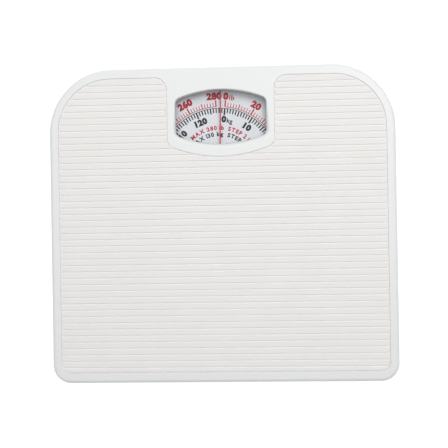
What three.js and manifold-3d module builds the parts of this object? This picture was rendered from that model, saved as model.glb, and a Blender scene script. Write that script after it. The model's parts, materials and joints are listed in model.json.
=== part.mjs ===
// Mechanical dial bathroom scale: a pressed-steel platform on four levers, which pull a spring yoke
// down; the yoke lets a bell crank push a rack, and the rack turns the dial under the window.
// Millimetres, +Z up. +X is the user's right, +Y points to the dial end.
// The origin is on the floor, under the middle of the platform.
import * as THREE from "three";
import { mergeVertices } from "three/addons/utils/BufferGeometryUtils.js";
import Module from "manifold-3d";

const wasm = await Module();
wasm.setup();

// ---- Driving dimensions ------------------------------------------------------------------------

// Overall
const WIDTH = 267.5;
const LENGTH = 243.5;
const HEIGHT = 48;
const SHEET = 0.8; // pressed steel of the cover and the tray
const GAP = 0.3; // between pieces that rest on each other

// Platform cover
const FRONT_CORNER = 14;
const BACK_CORNER = 49;
const EDGE_ROUND = 3.5; // rolled top edge
const SKIRT_BOTTOM = 22;

// Ribbed mat in its shallow recess
const MAT_SIDE_BORDER = 7.25;
const MAT_FRONT_BORDER = 7.6;
const MAT_BACK_BORDER = 7.2;
const MAT_FRONT_CORNER = 6.5;
const MAT_BACK_CORNER = 42;
const MAT_THICKNESS = 1.8;
const MAT_CLEARANCE = 0.4; // between the mat and the recess wall
const RIB_PITCH = 5;
const GROOVE_WIDTH = 1;
const GROOVE_DEPTH = 0.8;
const FIRST_GROOVE = 3.2; // from the mat's front edge

// Window, measured from the back edge of the platform
const WINDOW_CENTRE_FROM_BACK = 38.2;
const WINDOW_HALF_WIDTH = 35.3;
const WINDOW_HALF_HEIGHT = 21.05;
const WINDOW_ARC = 87;
const WINDOW_CORNER = 5;
const WINDOW_FLANGE = 5.5; // depth of the turned-down edge
const SURROUND_SIDE = 7; // smooth cover beside the window
const SURROUND_FRONT = 10.3; // smooth cover in front of the window
const SURROUND_ARC = 98;
const SURROUND_CORNER = 8;
const SURROUND_SHOULDER = 9; // where the surround flares into the back border

// Lens and hairline
const LENS_THICKNESS = 1.5;
const LENS_MARGIN = 3.5;
const RETAINER_THICKNESS = 0.9;
const RETAINER_MARGIN = 2;
const RETAINER_EAR = 13; // how far the ears reach beyond the lens
const HAIRLINE_WIDTH = 0.9;
const HAIRLINE_THICKNESS = 0.2;
const HAIRLINE_X = -0.6;
const HAIRLINE_TILT = THREE.MathUtils.degToRad(1.2);

// Base tray and feet
const TRAY_INSET = 6;
const TRAY_BOTTOM = 4;
const TRAY_TOP = 26;
const BEAD_WIDTH = 10;
const BEAD_LENGTH = 96;
const BEAD_HEIGHT = 1.2;
const BEAD_SPACING = 27;
const BEAD_Y = -48;
const FOOT_RADIUS = 11;
const FOOT_NECK = 4;
const FOOT_INSET_X = 52; // from the platform's sides
const FOOT_INSET_Y = 22; // from the platform's ends

// Levers
const LEVER_THICKNESS = 2;
const LEVER_DEPTH = 7;
const FULCRUM_INSET_X = 28.75; // from the platform's sides
const FRONT_FULCRUM_INSET = 26.75; // from the platform's front
const BACK_FULCRUM_INSET = 33.75; // from the platform's back
const NOSE_X = 12;
const LOAD_ARM = 20; // fulcrum to load point, along each lever
const NOSE_TRAVEL = 10; // at full load
const LEVER_TAIL = 5;
const BRACKET_SHEET = 1.2;
const PIN_RADIUS = 1.5;
const PIN_CLEARANCE = 0.2;
const POST_WIDTH = 12;

// Dial and its gearing
const DIAL_X = -2;
const DIAL_RADIUS = 66;
const DIAL_EDGE_FROM_BACK = 12.25; // between the dial's rim and the back of the platform
const DIAL_THICKNESS = 0.8;
const DIAL_TOP = 36.8;
const DIAL_SWEEP = THREE.MathUtils.degToRad(364);
const SHAFT_RADIUS = 1.2;
const SHAFT_CLEARANCE = 0.15;
const PINION_TEETH = 10;
const TOOTH_MODULE = 0.5;
const TOOTH_BACKLASH = 0.15;
const PRESSURE_ANGLE = THREE.MathUtils.degToRad(20);
const RACK_THICKNESS = 1.6;
const RACK_BOTTOM = 27;
const RACK_BODY = 4.4; // width behind the tooth roots
const BRIDGE_HALF_LENGTH = 15;
const BRIDGE_TOP = 24.2;
const BRIDGE_FOOT = 8; // how far each foot reaches beyond its leg
const BRIDGE_LEVER_GAP = 2.4; // between the bridge and the long levers
const SCREW_HEAD_RADIUS = 3;
const SCREW_HEAD = 1.5;
const BUSH_RADIUS = 2.6;
const BUSH_LENGTH = 4;
const BUSH_FLANGE_RADIUS = 4;
const BUSH_FLANGE = 0.8;
const GUIDE_LENGTH = 12;
const GUIDE_WALL = 1.5;
const GUIDE_LIP = 1;
const GUIDE_REACH = 1.2; // from the rack's tooth roots to the guide's lips

// Bell crank
const CRANK_THICKNESS = 1.5;
const CRANK_PIVOT_Z = 15;
const CRANK_ARM_WIDTH = 2.4;
const CRANK_TIP_RADIUS = 2.2;
const CRANK_HUB_RADIUS = 4;
const CRANK_SPRING_SPACE = 4;

// Yoke, main spring and zero adjuster
const YOKE_HALF_WIDTH = 17;
const YOKE_LENGTH = 17;
const YOKE_SHEET = 1.2;
const YOKE_BACK_GAP = 2; // to the knob's bracket
const NOSE_ALONG_YOKE = 0.41; // where the levers press on it, as a share of its length
const SPRING_RADIUS = 4.2;
const SPRING_WIRE = 1;
const SPRING_TURNS = 5;
const SPRING_TOP = 30.7;
const HANGER_SHEET = 1.6;
const SCREW_RADIUS = 2.5;
const KNOB_RADIUS = 9.5;
const KNOB_THICKNESS = 5;
const KNOB_BOTTOM = 12.5;
const KNOB_HUB_WALL = 1;
const KNOB_RIBS = 24;
const KNOB_PROUD = 4.5; // how far the knob stands out of the tray wall
const KNOB_CLEARANCE = 0.5; // to the bracket behind it
const KNOB_BRACKET_WIDTH = 14;

// Springs that hold the cover down on the tray
const HOLD_SPRING_INSET = 41.75; // from the platform's sides
const HOLD_SPRING_Y = -12;
const HOLD_SPRING_RADIUS = 3.5;
const HOLD_SPRING_WIRE = 0.5;
const HOLD_SPRING_TURNS = 7;

// ---- Places worked out from them -----------------------------------------------------------------

const BACK = LENGTH / 2;
const FULCRUM_X = WIDTH / 2 - FULCRUM_INSET_X;
const FRONT_FULCRUM_Y = -BACK + FRONT_FULCRUM_INSET;
const BACK_FULCRUM_Y = BACK - BACK_FULCRUM_INSET;
const TRAY_FLOOR = TRAY_BOTTOM + SHEET;
const RECESS_FLOOR = HEIGHT - MAT_THICKNESS;
const COVER_UNDERSIDE = RECESS_FLOOR - SHEET;
const WINDOW_Y = BACK - WINDOW_CENTRE_FROM_BACK;
const LENS_TOP = HEIGHT - WINDOW_FLANGE - GAP / 3;
const LENS_BOTTOM = LENS_TOP - LENS_THICKNESS;
const RETAINER_TOP = LENS_BOTTOM - GAP / 3;
const RETAINER_BOTTOM = RETAINER_TOP - RETAINER_THICKNESS;
const RETAINER_SCREW_X = WINDOW_HALF_WIDTH + LENS_MARGIN + RETAINER_EAR - 4;

const DIAL_Y = BACK - DIAL_EDGE_FROM_BACK - DIAL_RADIUS;
const DIAL_BOTTOM = DIAL_TOP - DIAL_THICKNESS;
const PITCH_RADIUS = (PINION_TEETH * TOOTH_MODULE) / 2;
const RACK_TRAVEL = PITCH_RADIUS * DIAL_SWEEP;
const PITCH_LINE = DIAL_X + PITCH_RADIUS;
const RACK_ROOT = PITCH_LINE + 1.25 * TOOTH_MODULE;
const RACK_TOP = RACK_BOTTOM + RACK_THICKNESS;

const KNOB_Y = BACK - TRAY_INSET + KNOB_PROUD - KNOB_RADIUS;
const KNOB_BRACKET_WALL = KNOB_Y - KNOB_RADIUS - KNOB_CLEARANCE - BRACKET_SHEET;
const YOKE_BACK = KNOB_BRACKET_WALL - YOKE_BACK_GAP;
const YOKE_FRONT = YOKE_BACK - YOKE_LENGTH;
const SPRING_Y = YOKE_BACK - SPRING_RADIUS - SPRING_WIRE;

const CRANK_RISE = (RACK_BOTTOM + RACK_TOP) / 2 - CRANK_PIVOT_Z;
const CRANK_HALF_SWING = Math.atan(RACK_TRAVEL / 2 / CRANK_RISE);
const CRANK_SHORT_ARM = NOSE_TRAVEL / 2 / Math.sin(CRANK_HALF_SWING);
const CRANK_TIP_Y = YOKE_FRONT + CRANK_TIP_RADIUS / 2;
const CRANK_X = RACK_ROOT + RACK_BODY / 2;
const CRANK_Y = CRANK_TIP_Y - CRANK_SHORT_ARM * Math.cos(CRANK_HALF_SWING);

const YOKE_TOP = CRANK_PIVOT_Z + NOSE_TRAVEL / 2 - CRANK_TIP_RADIUS - GAP;
const LEVER_BOTTOM = YOKE_TOP + GAP;
const LEVER_TOP = LEVER_BOTTOM + LEVER_DEPTH;
const LEVER_Z = LEVER_BOTTOM + LEVER_DEPTH / 2;
const NOSE_Y = YOKE_FRONT + YOKE_LENGTH * NOSE_ALONG_YOKE;

const LEVER_SPLAY = (FULCRUM_X - NOSE_X) / (NOSE_Y - FRONT_FULCRUM_Y);
const LEVER_X_AT_BRIDGE = NOSE_X + LEVER_SPLAY * (NOSE_Y - DIAL_Y - BRIDGE_HALF_LENGTH);
const BRIDGE_HALF_WIDTH = LEVER_X_AT_BRIDGE - LEVER_THICKNESS / 2 - BRIDGE_LEVER_GAP;
const BRIDGE_SCREW_X = BRIDGE_HALF_WIDTH + BRIDGE_FOOT / 2 + 0.5;

// ---- Solid helpers -------------------------------------------------------------------------------

function toSolid(geometry) {
  const bare = geometry.index ? geometry.toNonIndexed() : geometry.clone();
  bare.deleteAttribute("normal");
  bare.deleteAttribute("uv");
  const merged = mergeVertices(bare, 1e-4);
  return new wasm.Manifold(
    new wasm.Mesh({
      numProp: 3,
      vertProperties: merged.attributes.position.array,
      triVerts: new Uint32Array(merged.index.array),
    }),
  );
}

function toGeometry(solid) {
  const mesh = solid.getMesh();
  const geometry = new THREE.BufferGeometry();
  geometry.setAttribute("position", new THREE.BufferAttribute(mesh.vertProperties, 3));
  geometry.setIndex(new THREE.BufferAttribute(mesh.triVerts, 1));
  const flat = geometry.toNonIndexed();
  flat.computeVertexNormals();
  return flat;
}

const join = (...pieces) => toGeometry(pieces.map(toSolid).reduce((a, b) => a.add(b)));
const cut = (body, ...tools) =>
  toGeometry(tools.map(toSolid).reduce((a, b) => a.subtract(b), toSolid(body)));

// An outline in the XY plane, raised from z0 to z1. Every arc in it gets 2 * `arcSteps` sides.
function slab(outline, z0, z1, arcSteps = 4) {
  const options = { depth: z1 - z0, bevelEnabled: false, curveSegments: arcSteps };
  return new THREE.ExtrudeGeometry(outline, options).translate(0, 0, z0);
}

function block(x0, x1, y0, y1, z0, z1) {
  const box = new THREE.BoxGeometry(x1 - x0, y1 - y0, z1 - z0);
  return box.translate((x0 + x1) / 2, (y0 + y1) / 2, (z0 + z1) / 2);
}

function rod(radius, x, y, z0, z1, sides = 24) {
  const geometry = new THREE.CylinderGeometry(radius, radius, z1 - z0, sides);
  return geometry.rotateX(Math.PI / 2).translate(x, y, (z0 + z1) / 2);
}

// A rod along X, centred at (x, y, z).
function crossRod(radius, x, y, z, length, sides = 16) {
  const geometry = new THREE.CylinderGeometry(radius, radius, length, sides);
  return geometry.rotateZ(Math.PI / 2).translate(x, y, z);
}

// A turned piece: [radius, z] points from the axis round to the axis, or a closed ring.
function turned(points, x = 0, y = 0, sides = 32) {
  const profile = points.map(([r, z]) => new THREE.Vector2(r, z));
  return new THREE.LatheGeometry(profile, sides).rotateX(Math.PI / 2).translate(x, y, 0);
}

function ring(inner, outer, z0, z1, x = 0, y = 0, sides = 32) {
  const points = [[inner, z0], [outer, z0], [outer, z1], [inner, z1], [inner, z0]];
  return turned(points, x, y, sides);
}

function polygon(points) {
  return new THREE.Shape(points.map(([x, y]) => new THREE.Vector2(x, y)));
}

// A side view drawn as (along, up) points, made `thickness` thick about the plane through its place.
// It stands at `place`, with its "along" axis turned `heading` from +X.
function standing(outline, thickness, place, heading) {
  const options = { depth: thickness, bevelEnabled: false, curveSegments: 6 };
  const geometry = new THREE.ExtrudeGeometry(outline, options);
  geometry.translate(0, 0, -thickness / 2).rotateX(Math.PI / 2);
  return geometry.rotateZ(heading).translate(place.x, place.y, 0);
}

class Helix extends THREE.Curve {
  constructor(radius, z0, z1, turns) {
    super();
    Object.assign(this, { radius, z0, z1, turns });
  }

  getPoint(t, target = new THREE.Vector3()) {
    const angle = 2 * Math.PI * this.turns * t;
    const z = THREE.MathUtils.lerp(this.z0, this.z1, t);
    return target.set(this.radius * Math.cos(angle), this.radius * Math.sin(angle), z);
  }
}

// A coil of wire between two heights; `wire` is the wire's radius and its ends stay between them.
function coil(radius, wire, turns, z0, z1, sides = 6, stepsPerTurn = 12) {
  const section = new THREE.Shape().absarc(0, 0, wire, 0, 2 * Math.PI);
  const extrudePath = new Helix(radius, z0 + wire, z1 - wire, turns);
  const steps = Math.round(turns * stepsPerTurn);
  return new THREE.ExtrudeGeometry(section, { extrudePath, steps, curveSegments: sides / 2 });
}

// ---- Outlines ------------------------------------------------------------------------------------

// The platform's plan: tight corners at the user's end, wide ones at the dial end.
function platformOutline(inset) {
  const x = WIDTH / 2 - inset;
  const y = LENGTH / 2 - inset;
  const front = Math.max(FRONT_CORNER - inset, 1);
  const back = BACK_CORNER - inset;
  return new THREE.Shape()
    .absarc(x - front, -y + front, front, -Math.PI / 2, 0)
    .absarc(x - back, y - back, back, 0, Math.PI / 2)
    .absarc(-x + back, y - back, back, Math.PI / 2, Math.PI)
    .absarc(-x + front, -y + front, front, Math.PI, 1.5 * Math.PI);
}

// The window: straight sides and two shallow arcs, grown outwards by `grow`.
function windowOutline(grow) {
  const corner = WINDOW_CORNER + grow;
  const arc = WINDOW_ARC + grow;
  const cornerX = WINDOW_HALF_WIDTH - WINDOW_CORNER;
  const reach = Math.sqrt((WINDOW_ARC - WINDOW_CORNER) ** 2 - cornerX ** 2);
  const arcDrop = WINDOW_ARC - WINDOW_HALF_HEIGHT;
  const cornerY = reach - arcDrop;
  const half = Math.atan2(cornerX, reach);
  const up = Math.PI / 2;
  return new THREE.Shape()
    .absarc(0, WINDOW_Y + arcDrop, arc, -up - half, -up + half)
    .absarc(cornerX, WINDOW_Y - cornerY, corner, -up + half, 0)
    .absarc(cornerX, WINDOW_Y + cornerY, corner, 0, up - half)
    .absarc(0, WINDOW_Y - arcDrop, arc, up - half, up + half)
    .absarc(-cornerX, WINDOW_Y + cornerY, corner, up + half, Math.PI)
    .absarc(-cornerX, WINDOW_Y - cornerY, corner, Math.PI, 1.5 * Math.PI - half);
}

// The mat's plan: it stops inside the borders and goes round the window's surround.
function matOutline(grow) {
  const right = WIDTH / 2 - MAT_SIDE_BORDER;
  const front = -LENGTH / 2 + MAT_FRONT_BORDER;
  const back = LENGTH / 2 - MAT_BACK_BORDER;
  const frontRound = MAT_FRONT_CORNER + grow;
  const backRound = MAT_BACK_CORNER + grow;
  const shoulder = SURROUND_SHOULDER + grow;
  const shoulderX = WINDOW_HALF_WIDTH + SURROUND_SIDE + SURROUND_SHOULDER;
  const cornerX = WINDOW_HALF_WIDTH + SURROUND_SIDE - SURROUND_CORNER;
  const arcY = WINDOW_Y - WINDOW_HALF_HEIGHT - SURROUND_FRONT + SURROUND_ARC;
  const reach = Math.sqrt((SURROUND_ARC - SURROUND_CORNER) ** 2 - cornerX ** 2);
  const half = Math.atan2(cornerX, reach);
  const up = Math.PI / 2;
  const frontY = front + MAT_FRONT_CORNER;
  const backY = back - MAT_BACK_CORNER;
  const shoulderY = back - SURROUND_SHOULDER;
  const corner = SURROUND_CORNER - grow;
  return new THREE.Shape()
    .absarc(right - MAT_FRONT_CORNER, frontY, frontRound, -up, 0)
    .absarc(right - MAT_BACK_CORNER, backY, backRound, 0, up)
    .absarc(shoulderX, shoulderY, shoulder, up, Math.PI)
    .absarc(cornerX, arcY - reach, corner, 0, -up + half, true)
    .absarc(0, arcY, SURROUND_ARC - grow, -up + half, -up - half, true)
    .absarc(-cornerX, arcY - reach, corner, -up - half, -Math.PI, true)
    .absarc(-shoulderX, shoulderY, shoulder, 0, up)
    .absarc(-right + MAT_BACK_CORNER, backY, backRound, up, Math.PI)
    .absarc(-right + MAT_FRONT_CORNER, frontY, frontRound, Math.PI, 1.5 * Math.PI);
}

// ---- Platform ------------------------------------------------------------------------------------

// A block with the platform's plan and a rounded top edge; its lower end is left long and trimmed.
function pillow(inset, round, z0, z1) {
  const options = {
    depth: z1 - z0,
    bevelThickness: round,
    bevelSize: round,
    bevelOffset: -round,
    bevelSegments: 3,
    curveSegments: 5,
  };
  return new THREE.ExtrudeGeometry(platformOutline(inset), options).translate(0, 0, z0 - round);
}

function topCover() {
  const outside = pillow(0, EDGE_ROUND, SKIRT_BOTTOM - 2, HEIGHT);
  const hollow = pillow(SHEET, EDGE_ROUND - SHEET, SKIRT_BOTTOM - 6, HEIGHT - SHEET);
  const below = slab(platformOutline(-2), 0, SKIRT_BOTTOM);
  const recess = slab(matOutline(MAT_CLEARANCE), RECESS_FLOOR, HEIGHT + 1);
  const recessTray = slab(matOutline(MAT_CLEARANCE + SHEET), COVER_UNDERSIDE, HEIGHT + 1);
  const flange = slab(windowOutline(SHEET), HEIGHT - WINDOW_FLANGE, HEIGHT - SHEET / 2);
  const opening = slab(windowOutline(0), 0, HEIGHT + 1);
  const shell = cut(outside, below, cut(hollow, recessTray));
  return cut(join(shell, flange), recess, opening);
}

function antiSlipMat() {
  const front = -LENGTH / 2 + MAT_FRONT_BORDER;
  const back = LENGTH / 2 - MAT_BACK_BORDER;
  const bottom = RECESS_FLOOR + GAP / 6;
  const grooves = [];
  for (let y = front + FIRST_GROOVE; y < back - RIB_PITCH / 2; y += RIB_PITCH) {
    const y0 = y - GROOVE_WIDTH / 2;
    grooves.push(block(-WIDTH, WIDTH, y0, y0 + GROOVE_WIDTH, HEIGHT - GROOVE_DEPTH, HEIGHT + 1));
  }
  return cut(slab(matOutline(0), bottom, HEIGHT - GAP / 3), ...grooves);
}

const windowLens = () => slab(windowOutline(LENS_MARGIN), LENS_BOTTOM, LENS_TOP);

// A flat ring under the lens, with an ear at each side for its screw.
function lensRetainer() {
  const reach = WINDOW_HALF_WIDTH + LENS_MARGIN + RETAINER_EAR;
  const disc = slab(windowOutline(LENS_MARGIN + RETAINER_MARGIN), RETAINER_BOTTOM, RETAINER_TOP);
  const ears = block(-reach, reach, WINDOW_Y - 6, WINDOW_Y + 6, RETAINER_BOTTOM, RETAINER_TOP);
  const sight = slab(windowOutline(1.4), 0, HEIGHT);
  const holes = [-1, 1].map((side) =>
    rod(PIN_RADIUS + PIN_CLEARANCE, side * RETAINER_SCREW_X, WINDOW_Y, 0, HEIGHT),
  );
  return cut(join(disc, ears), sight, ...holes);
}

function retainerScrew(side) {
  const head = 3;
  const headTop = RETAINER_BOTTOM - GAP / 3;
  const top = COVER_UNDERSIDE - GAP / 3;
  const points = [[0, headTop - 0.9], [head, headTop - 0.9], [head, headTop]];
  points.push([PIN_RADIUS, headTop], [PIN_RADIUS, top], [0, top]);
  return turned(points, side * RETAINER_SCREW_X, WINDOW_Y, 20);
}

// The red reading line, stretched across the underside of the lens.
function hairline() {
  const half = WINDOW_HALF_HEIGHT + 1;
  const strip = new THREE.BoxGeometry(HAIRLINE_WIDTH, 2 * half, HAIRLINE_THICKNESS);
  const z = LENS_BOTTOM - GAP / 6 - HAIRLINE_THICKNESS / 2;
  return strip.rotateZ(-HAIRLINE_TILT).translate(HAIRLINE_X, WINDOW_Y, z);
}

// ---- Levers, their fulcrums and the posts that load them -----------------------------------------

// Each lever is described by its fulcrum, the point its nose reaches, and the line between them.
function leverLine(side, fulcrumY, tipX, tipY) {
  const fulcrum = new THREE.Vector2(side * FULCRUM_X, fulcrumY);
  const along = new THREE.Vector2(side * tipX, tipY).sub(fulcrum);
  const length = along.length();
  return { fulcrum, length, heading: along.angle(), unit: along.normalize() };
}

const longLine = (side) => leverLine(side, FRONT_FULCRUM_Y, NOSE_X, NOSE_Y);

// A short lever meets its long lever at the point that is as far from one fulcrum as the other,
// so that both turn by the same angle.
function shortLine(side) {
  const { fulcrum, unit } = longLine(side);
  const reach = (BACK_FULCRUM_Y - FRONT_FULCRUM_Y) / 2 / unit.y;
  const meeting = unit.clone().multiplyScalar(reach).add(fulcrum);
  return leverLine(side, BACK_FULCRUM_Y, Math.abs(meeting.x), meeting.y);
}

function drilledLever(outline, line) {
  const hole = new THREE.Path().absarc(0, LEVER_Z, PIN_RADIUS + PIN_CLEARANCE, 0, 2 * Math.PI);
  outline.holes.push(hole);
  return standing(outline, LEVER_THICKNESS, line.fulcrum, line.heading);
}

function longLever(side) {
  const line = longLine(side);
  const end = line.length + 3;
  const outline = polygon([
    [-LEVER_TAIL, LEVER_BOTTOM],
    [end, LEVER_BOTTOM],
    [end, LEVER_TOP - 2],
    [end - 14, LEVER_TOP],
    [-LEVER_TAIL, LEVER_TOP],
  ]);
  return drilledLever(outline, line);
}

// Its nose is cranked up, to rest on the long lever's top edge.
function shortLever(side) {
  const line = shortLine(side);
  const over = LEVER_TOP + GAP + 0.2;
  const end = line.length + 2.5;
  const outline = polygon([
    [-LEVER_TAIL, LEVER_BOTTOM],
    [line.length - 14, LEVER_BOTTOM],
    [line.length - 7, over],
    [end, over],
    [end, over + 4],
    [line.length - 10, over + 4],
    [line.length - 17, LEVER_TOP],
    [-LEVER_TAIL, LEVER_TOP],
  ]);
  return drilledLever(outline, line);
}

// A channel on the tray floor that holds a lever's pin in its two ears.
function fulcrumBracket(line) {
  const inside = LEVER_THICKNESS / 2 + 2 * GAP;
  const outside = inside + BRACKET_SHEET;
  const floor = TRAY_FLOOR + GAP / 6;
  const top = LEVER_Z + 4;
  const outline = polygon([
    [-9, floor], [9, floor], [9, floor + BRACKET_SHEET],
    [outside, floor + BRACKET_SHEET], [outside, top], [inside, top],
    [inside, floor + BRACKET_SHEET], [-inside, floor + BRACKET_SHEET],
    [-inside, top], [-outside, top], [-outside, floor + BRACKET_SHEET],
    [-9, floor + BRACKET_SHEET],
  ]);
  const channel = standing(outline, 10, line.fulcrum, line.heading + Math.PI / 2);
  return cut(channel, pinAcross(line, PIN_RADIUS + PIN_CLEARANCE, 4 * outside));
}

function pinAcross(line, radius, length) {
  const geometry = crossRod(radius, 0, 0, LEVER_Z, length);
  return geometry.rotateZ(line.heading + Math.PI / 2).translate(line.fulcrum.x, line.fulcrum.y, 0);
}

const fulcrumPin = (line) => pinAcross(line, PIN_RADIUS, 2 * (LEVER_THICKNESS + 2 * BRACKET_SHEET));

// A folded leg under the cover, notched to sit over its lever's top edge.
function loadPost(line) {
  const place = line.unit.clone().multiplyScalar(LOAD_ARM).add(line.fulcrum);
  const notch = LEVER_THICKNESS / 2 + 1.5 * GAP;
  const half = POST_WIDTH / 2;
  const foot = LEVER_TOP - 2.5;
  const top = COVER_UNDERSIDE - GAP / 3;
  const outline = polygon([
    [-half, foot], [-notch, foot], [-notch, LEVER_TOP + GAP], [notch, LEVER_TOP + GAP],
    [notch, foot], [half, foot], [half, top], [-half, top],
  ]);
  const leg = standing(outline, 1.5, place, line.heading + Math.PI / 2);
  const flange = block(-half, half, -0.7, 9, top - 1.5, top);
  return join(leg, flange.rotateZ(line.heading - Math.PI / 2).translate(place.x, place.y, 0));
}

// ---- Dial train ----------------------------------------------------------------------------------

const dialDisc = () =>
  ring(SHAFT_RADIUS + SHAFT_CLEARANCE, DIAL_RADIUS, DIAL_BOTTOM, DIAL_TOP, DIAL_X, DIAL_Y, 96);

function dialHub() {
  const bore = SHAFT_RADIUS + SHAFT_CLEARANCE;
  const top = DIAL_BOTTOM - GAP / 6;
  const bottom = RACK_TOP + 3.3;
  const points = [[bore, bottom], [4, bottom], [4, top - 1], [10, top - 1], [10, top], [bore, top]];
  return turned([...points, points[0]], DIAL_X, DIAL_Y);
}

const dialShaft = () => rod(SHAFT_RADIUS, DIAL_X, DIAL_Y, BRIDGE_TOP - 5, DIAL_TOP, 20);

function dialCap() {
  const bottom = DIAL_TOP + GAP / 6;
  return turned([[0, bottom], [3, bottom], [3, bottom + 0.5], [1.5, bottom + 1.2], [0, bottom + 1.2]],
    DIAL_X, DIAL_Y, 24);
}

// Rack teeth side by side along Y, as a plan outline facing -X; `fatten` thickens every tooth.
function rackTeeth(first, count, fatten) {
  const pitch = Math.PI * TOOTH_MODULE;
  const lean = Math.tan(PRESSURE_ANGLE) * TOOTH_MODULE;
  const tip = PITCH_LINE - TOOTH_MODULE;
  const points = [];
  for (let i = 0; i < count; i += 1) {
    const y = first + i * pitch;
    const half = pitch / 4 + fatten;
    points.push([RACK_ROOT, y - half - 1.25 * lean], [tip, y - half + lean]);
    points.push([tip, y + half - lean], [RACK_ROOT, y + half + 1.25 * lean]);
  }
  return points.reverse();
}

// The pinion is a blank from which the rack's teeth, rolled past it, have cut their spaces.
function pinion() {
  const bottom = RACK_BOTTOM - 1.5;
  const top = RACK_TOP + 3;
  const outside = PITCH_RADIUS + TOOTH_MODULE * 0.9;
  const blank = ring(SHAFT_RADIUS + SHAFT_CLEARANCE, outside, bottom, top, 0, 0, 40);
  const pitch = Math.PI * TOOTH_MODULE;
  const teeth = rackTeeth(DIAL_Y - 3 * pitch, 7, TOOTH_BACKLASH);
  const ends = [DIAL_Y + 4 * pitch, DIAL_Y - 4 * pitch];
  const bar = [[RACK_ROOT, ends[0]], ...teeth, [RACK_ROOT, ends[1]]];
  const plan = polygon([...bar, [RACK_ROOT + 1, ends[1]], [RACK_ROOT + 1, ends[0]]]);
  const cutter = slab(plan, bottom - 1, top + 1).translate(-DIAL_X, -DIAL_Y, 0);
  const steps = 4;
  const cuts = [];
  for (let i = 0; i < PINION_TEETH * steps; i += 1) {
    const roll = (i / steps) % 1;
    const angle = (2 * Math.PI * i) / (PINION_TEETH * steps);
    cuts.push(cutter.clone().translate(0, roll * pitch, 0).rotateZ(-angle));
  }
  return cut(blank, ...cuts).translate(DIAL_X, DIAL_Y, 0);
}

// The rack runs past the pinion on its +X side; the crank's long arm stands in its slot.
function rack() {
  const pitch = Math.PI * TOOTH_MODULE;
  const back = RACK_ROOT + RACK_BODY;
  const slotY = CRANK_Y - RACK_TRAVEL / 2;
  const count = Math.ceil(RACK_TRAVEL / pitch) + 5;
  const first = DIAL_Y - (count - 3) * pitch;
  const teeth = rackTeeth(first, count, 0);
  const plan = polygon([
    [back, first - pitch], [back, slotY + rackSlot() + 1.8],
    [RACK_ROOT, slotY + rackSlot() + 1.8], ...teeth, [RACK_ROOT, first - pitch],
  ]);
  const side = CRANK_THICKNESS / 2 + GAP;
  const slot = block(CRANK_X - side, CRANK_X + side, slotY - rackSlot(), slotY + rackSlot(), 0, HEIGHT);
  return cut(slab(plan, RACK_BOTTOM, RACK_TOP), slot);
}

// Half the slot's length: room for the leaning arm, and for its arc against the straight rack.
function rackSlot() {
  const lean = Math.tan(CRANK_HALF_SWING);
  return CRANK_ARM_WIDTH / 2 / Math.cos(CRANK_HALF_SWING) + (RACK_THICKNESS / 2) * lean + 3 * GAP;
}

// Holds the rack against the pinion: a C-shaped guide that is open towards the pinion.
function rackGuide() {
  const wall = RACK_ROOT + RACK_BODY + GAP;
  const outside = wall + GUIDE_WALL;
  const floor = BRIDGE_TOP + GAP / 6;
  const top = RACK_TOP + GAP + GUIDE_LIP;
  const lip = RACK_ROOT + GUIDE_REACH;
  const section = polygon([
    [lip, floor], [outside, floor], [outside, top], [lip, top],
    [lip, RACK_TOP + GAP], [wall, RACK_TOP + GAP], [wall, RACK_BOTTOM - GAP], [lip, RACK_BOTTOM - GAP],
  ]);
  return standing(section, GUIDE_LENGTH, { x: 0, y: DIAL_Y }, 0);
}

// A bridge over the tray floor: two legs with feet, and a top plate for the dial's bush.
function dialBridge() {
  const half = BRIDGE_HALF_WIDTH;
  const floor = TRAY_FLOOR + GAP / 6;
  const t = BRACKET_SHEET;
  const section = polygon([
    [half - t, floor], [half + BRIDGE_FOOT, floor], [half + BRIDGE_FOOT, floor + t], [half, floor + t],
    [half, BRIDGE_TOP], [-half, BRIDGE_TOP], [-half, floor + t], [-half - BRIDGE_FOOT, floor + t],
    [-half - BRIDGE_FOOT, floor], [-half + t, floor], [-half + t, BRIDGE_TOP - t], [half - t, BRIDGE_TOP - t],
  ]);
  const plate = standing(section, 2 * BRIDGE_HALF_LENGTH, { x: 0, y: DIAL_Y }, 0);
  const bushHole = rod(BUSH_RADIUS + GAP, DIAL_X, DIAL_Y, BRIDGE_TOP - 2, BRIDGE_TOP + 1);
  const screwHoles = [-1, 1].map((side) =>
    rod(PIN_RADIUS + PIN_CLEARANCE, side * BRIDGE_SCREW_X, DIAL_Y, 0, TRAY_TOP / 2),
  );
  return cut(plate, bushHole, ...screwHoles);
}

// The bush that carries the dial's shaft in the bridge.
function shaftBush() {
  const bore = SHAFT_RADIUS + SHAFT_CLEARANCE;
  const seat = BRIDGE_TOP + GAP / 6;
  const bottom = BRIDGE_TOP - BUSH_LENGTH;
  const points = [
    [bore, bottom], [BUSH_RADIUS, bottom], [BUSH_RADIUS, seat], [BUSH_FLANGE_RADIUS, seat],
    [BUSH_FLANGE_RADIUS, seat + BUSH_FLANGE], [bore, seat + BUSH_FLANGE],
  ];
  const bush = turned([...points, points[0]], DIAL_X, DIAL_Y, 24);
  const guideFoot = RACK_ROOT + GUIDE_REACH - GAP;
  const flat = block(guideFoot, guideFoot + BUSH_FLANGE_RADIUS, DIAL_Y - GUIDE_LENGTH, DIAL_Y + GUIDE_LENGTH,
    seat - GAP / 3, seat + 2 * BUSH_FLANGE);
  return cut(bush, flat);
}

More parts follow.
